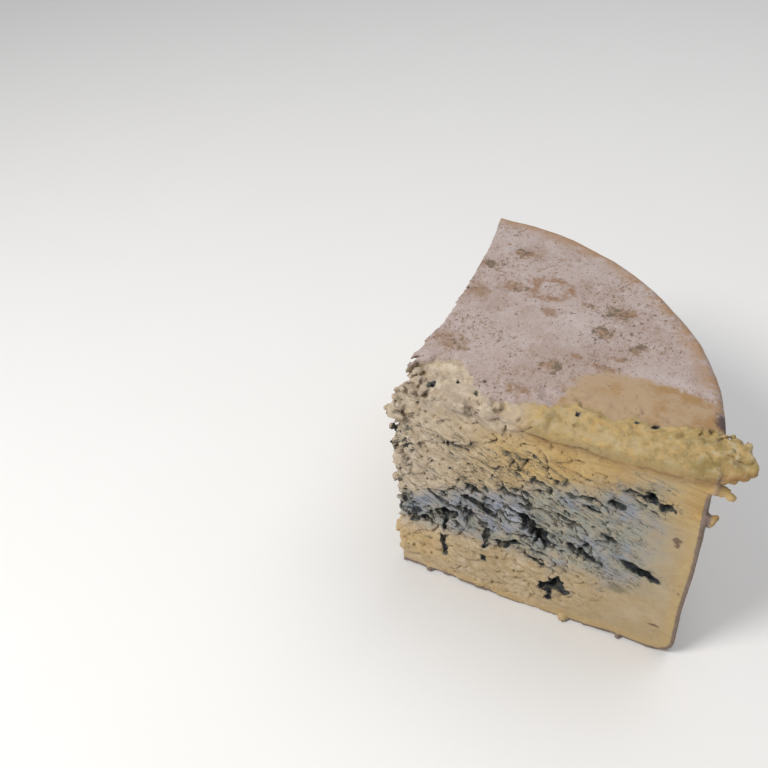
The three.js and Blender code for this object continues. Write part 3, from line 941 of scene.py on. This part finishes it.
def mould_darkness(s, zone, fine, under, from_apex):
    """Shares of dark mould and of the halo round it.

    Mould comes in clusters that run down towards the rim: many in the blue zone, some above it.
    """
    crack, beside = s.noted("crack"), s.noted("beside")
    opened, hollow = s.noted("opened"), s.noted("hollow")
    above = s.z.ramp(46, 62) * s.z.ramp(105, 93) * from_apex.ramp(96, 62) * s.x.ramp(10, 48, 0.45, 1.0)
    right = s.spot_in_cut(104, 92, 22, 10).ramp(1.1, 0.5)
    wanted = zone.most(above).most(right * 0.8).most(from_apex.ramp(14, 6) * 0.12)
    present = (s.grain((20, 11, 8), 3, 0.55, 67, FLAKE_SLOPE) + wanted * 0.26).ramp(0.58, 0.80)

    feathered = beside * 0.55 + fine * 0.35 + s.grain((4.5, 2.4, 1.8), 4, 0.65, 61, FLAKE_SLOPE, 0.6) * 0.7
    shade = (feathered + present * 0.22 + hollow * 0.12).ramp(0.95, 1.28) * wanted.ramp(0.0, 0.5)
    wisp = (s.grain((12, 5, 2.2), 4, 0.62, 113, FLAKE_SLOPE, 0.9) - 0.5).size().ramp(0.028, 0.006)
    wisp = wisp * (present + wanted * 0.25).ramp(0.1, 0.8)
    speck = s.grain((2.1, 1.6, 1.2), 2, 0.6, 63, FLAKE_SLOPE).ramp(0.66, 0.74)
    speck = speck * wanted.ramp(0.0, 0.6, 0.2, 0.9)
    fleck = shade.most(wisp * 0.8).most(speck * 0.8) * under.ramp(1.5, 4)

    lined = crack * (present * 0.85 + 0.25).least(1.0)
    dark = (lined + (fine - 0.5) * 0.35).ramp(0.15, 0.7).most(fleck * 0.92)
    dark = dark.most((opened + (fine - 0.5) * 0.6).ramp(0.25, 0.85))
    halo = (beside * present).most(opened.ramp(0.0, 0.6)).most(fleck.ramp(0.0, 0.5)) * 0.35
    return dark, halo


def rind_colour(s, rim_depth):
    """The rind: lilac-grey bloom with brown marks, a stained rim, a bare tan patch and a darker wall."""
    cloud = s.grain(26, 3, 0.5, 5)
    fine = s.grain(1.5, 4, 0.7, 13)
    freckle = s.grain((2.4, 3.2, 2.4), 5, 0.72, 19) + (fine - 0.5) * 0.3
    colour = s.mix(BLOOM, BLOOM_LILAC, (cloud * 0.55 + fine * 0.45).ramp(0.38, 0.62))
    colour = with_freckles(s, colour, freckle)
    colour, blotch = with_blotches(s, colour, fine, freckle)
    colour = with_specks(s, colour, cloud, blotch)
    stain = rim_depth.ramp(12, 1.5) * (s.grain(11, 4, 0.65, 37) + (fine - 0.5) * 0.4).ramp(0.36, 0.56)
    colour = s.mix(colour, RIM_STAIN, stain * 0.85)
    colour = with_bare_patch(s, colour, fine)
    return with_wall(s, colour, fine)


def with_freckles(s, colour, freckle):
    """Freckles in loose patches, where the bloom is thin, and pale clouds and small dots."""
    thin = s.grain(19, 3, 0.6, 17).ramp(0.40, 0.64)
    thin = thin.most(s.spot(22, 92, 30, 36).ramp(1.1, 0.4) * 0.55)
    colour = s.mix(colour, FRECKLE, (freckle + thin * 0.10).ramp(0.56, 0.72) * 0.8)
    pale = s.grain((9, 12, 9), 4, 0.6, 49).ramp(0.5, 0.68)
    colour = s.mix(colour, BLOOM_PALE, pale * 0.45)
    dot = (s.grain((1.1, 1.6, 1.1), 2, 0.5, 51) + thin * 0.06).ramp(0.655, 0.73)
    return s.mix(colour, DOT, dot * 0.85)


def with_blotches(s, colour, fine, freckle):
    """Brown blotches and the broken ring. Also gives the share of blotch."""
    blotch = s.spot(*BLOTCHES[0])
    for place in BLOTCHES[1:]:
        blotch = blotch.least(s.spot(*place))
    blotch = (blotch + (s.grain(3.6, 5, 0.72, 119) - 0.5) * 3.6 + (fine - 0.5) * 2.2).ramp(1.5, 0.4)
    colour = s.mix(colour, BLOTCH, blotch * 0.7)

    uneven = s.grain(4.6, 4, 0.64, 23) - 0.5
    ring = (s.spot(38.5, 85.5, 9.5, 8.6) - 0.86 + uneven).size().ramp(0.48, 0.10)
    ring = ring * s.grain(7, 2, 0.5, 123).ramp(0.38, 0.56, 0.3, 1.0)
    return s.mix(colour, RING, ring * (freckle + fine).ramp(0.76, 1.0) * 0.9), blotch


def with_specks(s, colour, cloud, blotch):
    """Dark specks, thicker in a few clusters and in the blotches."""
    cluster = s.spot(76, 66, 19, 27).ramp(1.15, 0.3).most(s.spot(8, 94, 13, 7).ramp(1.1, 0.3))
    cluster = cluster.most(s.spot(56, 33, 12, 8).ramp(1.1, 0.3) * 0.8)
    cluster = cluster.most(s.spot(20, 108, 8, 8).ramp(1.1, 0.3) * 0.8)
    specks = s.grain((2.2, 2.6, 2.2), 4, 0.68, 29, 0, 0.4)
    speck = (specks + cluster * 0.08 + blotch * 0.11 + (cloud - 0.5) * 0.10).ramp(0.60, 0.69)
    dirt = s.mix(DIRT_BROWN, DIRT_DARK, (s.grain(5, 2, 0.5, 33) + cluster * 0.12).ramp(0.5, 0.62))
    return s.mix(colour, dirt, speck * 0.9)


def with_bare_patch(s, colour, fine):
    """The bare tan patch behind the lip, and the purple spot at its end."""
    bare = ((s.x - 98) / 31).size() ** 3 + ((s.y - 14) / 25).size() ** 3
    bare = (bare + (s.grain(7, 4, 0.65, 43) - 0.5) * 1.1 + (fine - 0.5) * 0.35).ramp(1.25, 0.80)
    right = (s.grain(12, 3, 0.6, 59) + s.x.ramp(100, 125) * 0.2).ramp(0.5, 0.7)
    pitted = s.grain(2.0, 2, 0.5, 73).ramp(0.66, 0.74)
    tan = s.mix(s.mix(BARE_TAN, BARE_BROWN, right), BARE_PIT, pitted * 0.7)
    colour = s.mix(colour, tan, bare * s.z.ramp(112, 116))
    purple = s.spot(129, 28, 4.5, 6.5) + (fine - 0.5) * 1.2 + (s.grain(4, 3, 0.6, 93) - 0.5) * 1.2
    return s.mix(colour, PURPLE, purple.ramp(1.15, 0.5) * s.z.ramp(108, 115) * 0.85)


def with_wall(s, colour, fine):
    """The rim's wall: darker than the top, with a cloudy bloom that thins towards the front cut, where the
    darker wall is painted shade.
    """
    wall = (s.z + (s.grain(10, 3, 0.6, 127) - 0.5) * 12).ramp(118, 106)
    bloom = (s.grain((18, 18, 11), 5, 0.68, 79) * 0.6 + fine * 0.4).ramp(0.32, 0.68)
    # Near the front cut the bloom thins and the wall darkens: painted shade.
    wall_tone_and_shade = s.mix(LEATHER, LEATHER_BLOOM, bloom * s.y.ramp(0, 22, 0.25, 1.0))
    return s.mix(colour, wall_tone_and_shade, wall * 0.85)


def cheese_material():
    """Rind or paste, by depth under the rind and by what was noted."""
    s = Surface("cheese")
    under = s.noted("under_rind")
    dx, dy = s.x - float(WHEEL[0]), s.y - float(WHEEL[1])
    rim_depth = -((dx * dx + dy * dy) ** 0.5 - RIM_RADIUS)
    from_apex = (s.x * s.x + s.y * s.y) ** 0.5

    rind = rind_share(s, under, rim_depth)
    fine = s.grain(2.6, 4, 0.65, 9)
    plain = paste_colour(s, fine, under, from_apex)
    pasted, dark = with_mould(s, plain, fine, under, from_apex)
    pitted = s.mix(rind_colour(s, rim_depth), PIT_INSIDE, s.noted("opened"))
    s.tree.links.new(s.mix(pasted, pitted, rind), s.shader.inputs["Base Color"])

    greasy = s.grain(6, 4, 0.6, 89).ramp(0.3, 0.7, 0.44, 0.64)
    roughness = greasy * (-rind + 1.0) + rind * RIND_ROUGHNESS
    s.tree.links.new((roughness + dark * 0.25).least(0.95).socket, s.shader.inputs["Roughness"])
    add_bump(s, rind, from_apex)
    fill(s.shader, {"Subsurface Weight": 0.12, "Subsurface Radius": (1.0, 0.75, 0.45)})
    fill(s.shader, {"Subsurface Scale": 1.6 * MM, "Specular IOR Level": 0.35})
    return s.material


def rind_share(s, under, rim_depth):
    """1 on the rind and 0 on the paste. The tongue and the barbs, which lie outside the wheel, are paste."""
    ragged = s.grain(1.3, 3, 0.6, 83) - 0.5
    bare = (s.noted("bared") + ragged * 2.4).ramp(-0.6, 0.4) * s.z.ramp(104, 110) * rim_depth.ramp(-2, 2)
    beyond = (under + ragged * 2.0).ramp(-1.4, -2.6)
    beyond = beyond.most(s.noted("lip") * rim_depth.ramp(7, 3))
    near_outside = (under + ragged * 0.7).ramp(RIND_THICK + 0.35, RIND_THICK - 0.35)
    return near_outside * (-(bare.most(beyond)) + 1.0)


def add_bump(s, rind, from_apex):
    """Fine relief, in mm: powdery on the rind, moist and drawn along the flakes on the paste."""
    powder = s.grain(0.55, 3, 0.7, 97) * 0.16 + s.grain(1.9, 3, 0.6, 101) * 0.4
    moist = s.grain(0.8, 3, 0.6, 103) * 0.3 + s.grain((5, 3, 0.9), 2, 0.5, 107, FLAKE_SLOPE) * 0.25
    moist = moist + s.grain(1.7, 3, 0.65, 109) * 0.45 * from_apex.ramp(110, 40, 0.4, 1.0)
    height = moist * (-rind + 1.0) + powder * rind
    bump = s.tree.nodes.new("ShaderNodeBump")
    fill(bump, {"Distance": MM, "Strength": 1.0})
    s.tree.links.new(height.socket, bump.inputs["Height"])
    s.tree.links.new(bump.outputs[0], s.shader.inputs["Normal"])


def floor_material():
    s = Surface("floor")
    tone = s.grain(70, 2, 0.5)
    s.tree.links.new(s.mix(FLOOR_PALE, FLOOR_PALER, tone), s.shader.inputs["Base Color"])
    fill(s.shader, {"Roughness": 0.85})
    return s.material


# ---- Camera, light and floor ----

CAMERA_AT = np.array([140.8, -266.3, 380.1])  # mm from the apex's foot
CAMERA_TURN = math.radians(28.81)  # the view's heading, to the left of +Y
CAMERA_DROP = math.radians(41.1)  # how far the view looks down
CAMERA_ROLL = math.radians(-3.42)
LENS = 44.66  # mm
SENSOR = 36.0  # mm, the image's width on the sensor
NEAREST_SEEN = 0.01  # m

# Lights, in metres: place, what it faces, width, watts and colour.
KEY_LIGHT = ((-0.48, -0.64, 0.86), (-0.02, -0.06, 0.07), 0.40, 8.0, (1.0, 0.97, 0.93))
TOP_LIGHT = ((0.20, 0.38, 1.12), (0.0, 0.02, 0.12), 0.9, 4.6, (1.0, 0.985, 0.97))
SKY = (0.93, 0.96, 1.0, 1.0)
SKY_STRENGTH = 0.34

FLOOR_REACH = 3.0  # m, from its middle to each side
FLOOR_GAP = 0.2 * MM  # under the cheese


def aimed(at, target, roll=0.0):
    """A placement at a point, looking at a target."""
    back = (Vector(at) - Vector(target)).normalized()
    turn = back.to_track_quat("Z", "Y").to_matrix() @ Matrix.Rotation(roll, 3, "Z")
    return Matrix.Translation(Vector(at)) @ turn.to_4x4()


def add_camera():
    camera = placed("camera", bpy.data.cameras.new("camera"))
    camera.data.lens = LENS
    camera.data.sensor_width = SENSOR
    camera.data.clip_start = NEAREST_SEEN
    level = math.cos(CAMERA_DROP)
    ahead = Vector((-math.sin(CAMERA_TURN) * level, math.cos(CAMERA_TURN) * level, -math.sin(CAMERA_DROP)))
    at = Vector((CAMERA_AT + APEX) * MM)
    camera.matrix_world = aimed(at, at + ahead, CAMERA_ROLL)
    bpy.context.scene.camera = camera


def add_light(name, at, target, wide, watts, colour):
    light = placed(name, bpy.data.lights.new(name, "AREA"))
    light.data.shape = "DISK"
    light.data.size = wide
    light.data.energy = watts
    light.data.color = colour
    light.matrix_world = aimed(at, target)


def add_floor():
    mesh = bpy.data.meshes.new("floor")
    corners = [(x * FLOOR_REACH, y * FLOOR_REACH, 0) for x, y in ((-1, -1), (1, -1), (1, 1), (-1, 1))]
    mesh.from_pydata(corners, [], [(0, 1, 2, 3)])
    floor = placed("floor", mesh)
    floor.location.z = -FLOOR_GAP
    mesh.materials.append(floor_material())


def add_world():
    world = bpy.data.worlds.new("world")
    world.use_nodes = True
    background = world.node_tree.nodes["Background"]
    fill(background, {"Color": SKY, "Strength": SKY_STRENGTH})
    bpy.context.scene.world = world
    bpy.context.scene.view_settings.view_transform = "Standard"


add_camera()
add_world()
add_floor()
add_light("key", *KEY_LIGHT)
add_light("top", *TOP_LIGHT)

cheese = cheese_mesh()
note_places(cheese)
cheese.data.materials.append(cheese_material())
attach(cheese, "root")
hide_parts("cheese_wedge")
